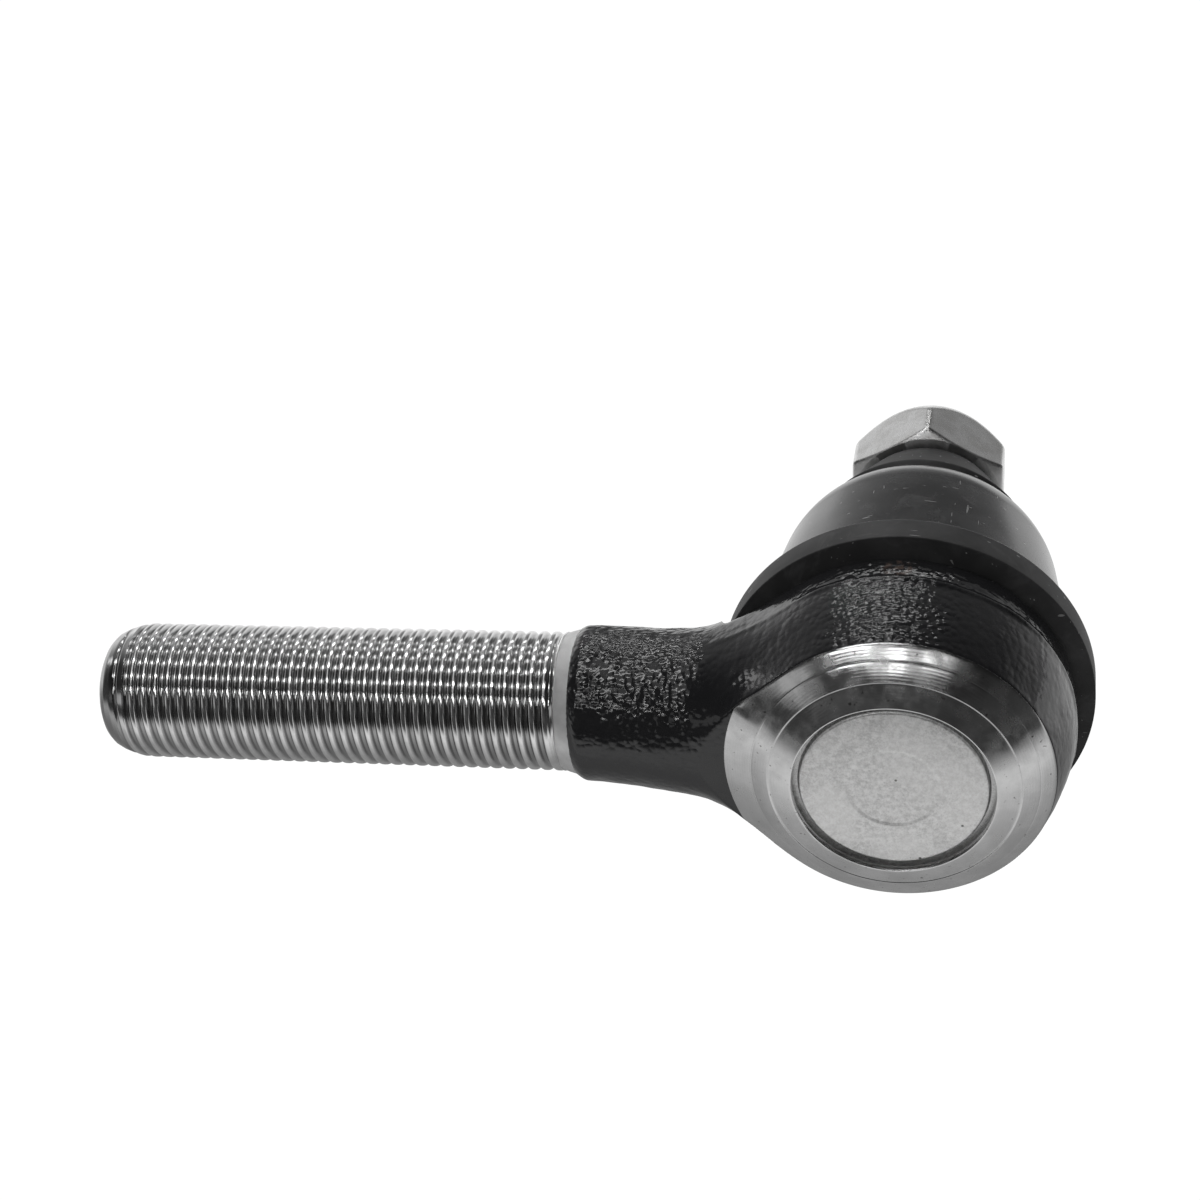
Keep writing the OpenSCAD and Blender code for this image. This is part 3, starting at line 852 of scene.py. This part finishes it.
def boot_upper():
    """The dome above the seam, the crease and the collar that grips the taper"""
    def bore(y):
        return TAPER_R - (y - TAPER_Y) * TAPER_SLOPE + COLLAR_EASE

    heights = np.linspace(BOOT_SEAM, DOME_TOP_Y - 0.4, 8)
    outside = [(wall(y, 0), y) for y in heights] + dome_points(0, 26)
    crease_r, crease_y = outside[-1]
    outside += rounded([
        (crease_r + 0.12, crease_y - 0.02, 0), (crease_r - 0.95, crease_y + 0.35, 0.35),
        (13.3, 31.15, 0.3), (13.75, 31.95, 0.5), (11.9, 36.1, 1.5),
        (9.2, COLLAR_TOP - 0.75, 0.5), (8.6, COLLAR_TOP, 0.3)], 5)
    outside += [(bore(COLLAR_TOP) + 0.35, COLLAR_TOP), (bore(COLLAR_TOP), COLLAR_TOP - 0.35)]
    inside = [(bore(y), y) for y in np.linspace(COLLAR_TOP - 1, 34.6, 8)]
    inside += [(crease_r - 3.2, CREASE_Y)] + dome_points(BOOT_WALL, 20)[::-1][2:]
    inside += [(wall(y, BOOT_WALL), y) for y in heights[::-1]]
    return lathe("dust_boot_upper", outside + inside, boot_rubber, BOOT_SIDES)


# ---------------------------------------------------------------- pieces on their bodies

for build, body, node, slot in (
        (forging_skin, "socket", "housing", "black_forging"),
        (machined_socket, "socket", "housing", "zinc_steel"),
        (shank_thread, "socket", "housing", "zinc_steel"),
        (cover_plate, "socket", "cover_plate", "zinc_steel"),
        (stud, "stud", "ball_stud", "bare_steel"),
        (stud_thread, "stud", "ball_stud", "bare_steel"),
        (nut, "stud", "lock_nut", "zinc_steel"),
        (nut_ring, "stud", "nut_insert", "nylon")):
    piece = build()
    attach(piece, body)
    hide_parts(node)

# The boot is built in two pieces that meet at the seam
lower = boot_lower()
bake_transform(lower)
upper = boot_upper()
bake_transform(upper)
for piece in (lower, upper):
    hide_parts("dust_boot")

for node, material in (("preload_spring", spring_metal), ("lower_seat", acetal), ("upper_seat", acetal),
                       ("boot_insert_ring", ring_metal), ("boot_collar_ring", spring_metal)):
    data = frame["nodes"][node].data
    data.materials.clear()
    data.materials.append(material)
    data.polygons.foreach_set("material_index", [0] * len(data.polygons))


# ---------------------------------------------------------------- floor, light and camera

def light_nodes(owner, place, source, output, seen_color, seen_strength, pattern):
    """Node tree that looks plain to the camera and lights the object by a pattern over the place

    The pattern gives rows of a value and the ramp on it, whose results are multiplied
    """
    nodes = Nodes(owner, place, empty=True)
    ramps = [nodes.ramp(value, *step) for value, *step in pattern(nodes)]
    lit = nodes.node(source, Strength=nodes.times(*ramps))
    seen = nodes.node(source, Color=seen_color, Strength=seen_strength)
    by_camera = nodes.node("LightPath").outputs["Is Camera Ray"]
    mix = nodes.node("MixShader")
    for socket, value in zip(mix.inputs, (by_camera, lit.outputs[0], seen.outputs[0])):
        nodes.feed(socket, value)
    nodes.node(output, Surface=mix.outputs[0])


def floor_pattern(nodes):
    """Glow that lights the object: dark in front of the object, a painted shadow right under it and light
    behind it, in metres
    """
    y = nodes.part("Y")
    return (y, -0.085, -0.03, 0.04, 0.82), (nodes.math("ABSOLUTE", y), 0.004, 0.05, 0.36, 1.2)


def world_pattern(nodes):
    """Dark in front, light behind and to the left, dim overhead and straight behind"""
    y = nodes.part("Y")
    return ((y, -0.1, 0.78, 0.07, 1.05), (y, 0.84, 0.96, 1.0, 0.38),
            (nodes.part("Z"), 0.42, 0.03, 0.26, 0.8), (nodes.part("X"), 0.4, -0.6, 0.96, 1.9))


def stage_floor():
    radius, sides, gap = 1.6, 96, 0.0004
    floor_glow = bpy.data.materials.new("floor")
    # The floor glows: plain white to the camera, painted light with a painted shadow under the object for
    # everything else
    light_nodes(floor_glow, "Object", "Emission", "OutputMaterial", (*grey(1), 1), 1.05, floor_pattern)
    ring = angles(sides)
    height = np.full(sides, cad_box[0][2] - gap)
    points = np.stack([np.sin(ring) * radius, np.cos(ring) * radius, height], -1) / MM
    faces = [(i, (i + 1) % sides, sides) for i in range(sides)]
    add_mesh("floor", np.vstack([points, points.mean(0)]), faces, floor_glow)


def studio_world():
    scene.world = bpy.data.worlds.new("studio")
    light_nodes(scene.world, "Generated", "Background", "OutputWorld", (*grey(0.93), 1), 1.0, world_pattern)


def lamp(name, elevation, distance, width, depth, watts, x):
    """Soft lamp that faces the object, at an elevation in degrees from -Y up over the top, in metres"""
    e = math.radians(elevation)
    light = bpy.data.lights.new(name, "AREA")
    light.shape = "RECTANGLE"
    light.size, light.size_y = width, depth
    light.energy = watts
    obj = bpy.data.objects.new(name, light)
    back = Vector((0, -math.cos(e), math.sin(e)))
    side = Vector((1, 0, 0))
    obj.location = Vector((x, 0, 0)) + back * distance
    obj.rotation_euler = Matrix((side, back.cross(side), back)).transposed().to_euler()
    obj.visible_camera = False
    scene.collection.objects.link(obj)


def studio_camera():
    """Camera from its place in mm and its azimuth, elevation and roll in degrees"""
    place = Vector((17.63, -195.08, 145.13)) * MM
    azimuth, elevation, roll = (math.radians(a) for a in (14.55, 33.03, 7.06))
    data = bpy.data.cameras.new("camera")
    data.sensor_width = 36.0
    data.lens = 64.92
    data.clip_start = 0.01
    camera = bpy.data.objects.new("camera", data)
    forward = Vector((-math.sin(azimuth) * math.cos(elevation),
                      math.cos(azimuth) * math.cos(elevation), -math.sin(elevation)))
    level = forward.cross(Vector((0, 0, 1))).normalized()
    right = math.cos(roll) * level - math.sin(roll) * level.cross(forward)
    stance = Matrix((right, right.cross(forward), -forward)).transposed().to_4x4()
    stance.translation = place
    camera.matrix_world = stance
    scene.collection.objects.link(camera)
    bpy.context.scene.camera = camera


studio_world()
stage_floor()
for settings in (
        ("front_shank", 37, 0.6, 0.24, 0.025, 0.2, -0.26),
        ("front_left", 32, 0.6, 0.08, 0.06, 0.035, -0.1),
        ("front_middle", 32, 0.6, 0.075, 0.06, 0.07, -0.018),
        ("front_dim", 32, 0.6, 0.08, 0.06, 0.015, 0.06),
        ("front_right", 32, 0.6, 0.15, 0.06, 0.07, 0.18),
        ("strip_60", 60, 0.6, 0.4, 0.03, 0.32, -0.16),
        ("strip_86", 86, 0.6, 0.36, 0.035, 0.36, -0.17),
        ("strip_110", 110, 0.6, 0.42, 0.026, 0.31, -0.11),
        ("strip_130", 130, 0.6, 0.38, 0.02, 0.25, -0.13),
        ("strip_148", 148, 0.6, 0.42, 0.022, 0.18, -0.08),
        ("left_window", 125, 0.24, 0.1, 0.09, 0.07, -0.55),
        ("left_panel", 16, 0.35, 0.4, 0.13, 0.07, -0.48),
        ("overhead_fill", 76, 0.62, 0.21, 0.7, 0.25, -0.275)):
    lamp(*settings)
studio_camera()
scene.view_settings.view_transform = "Standard"
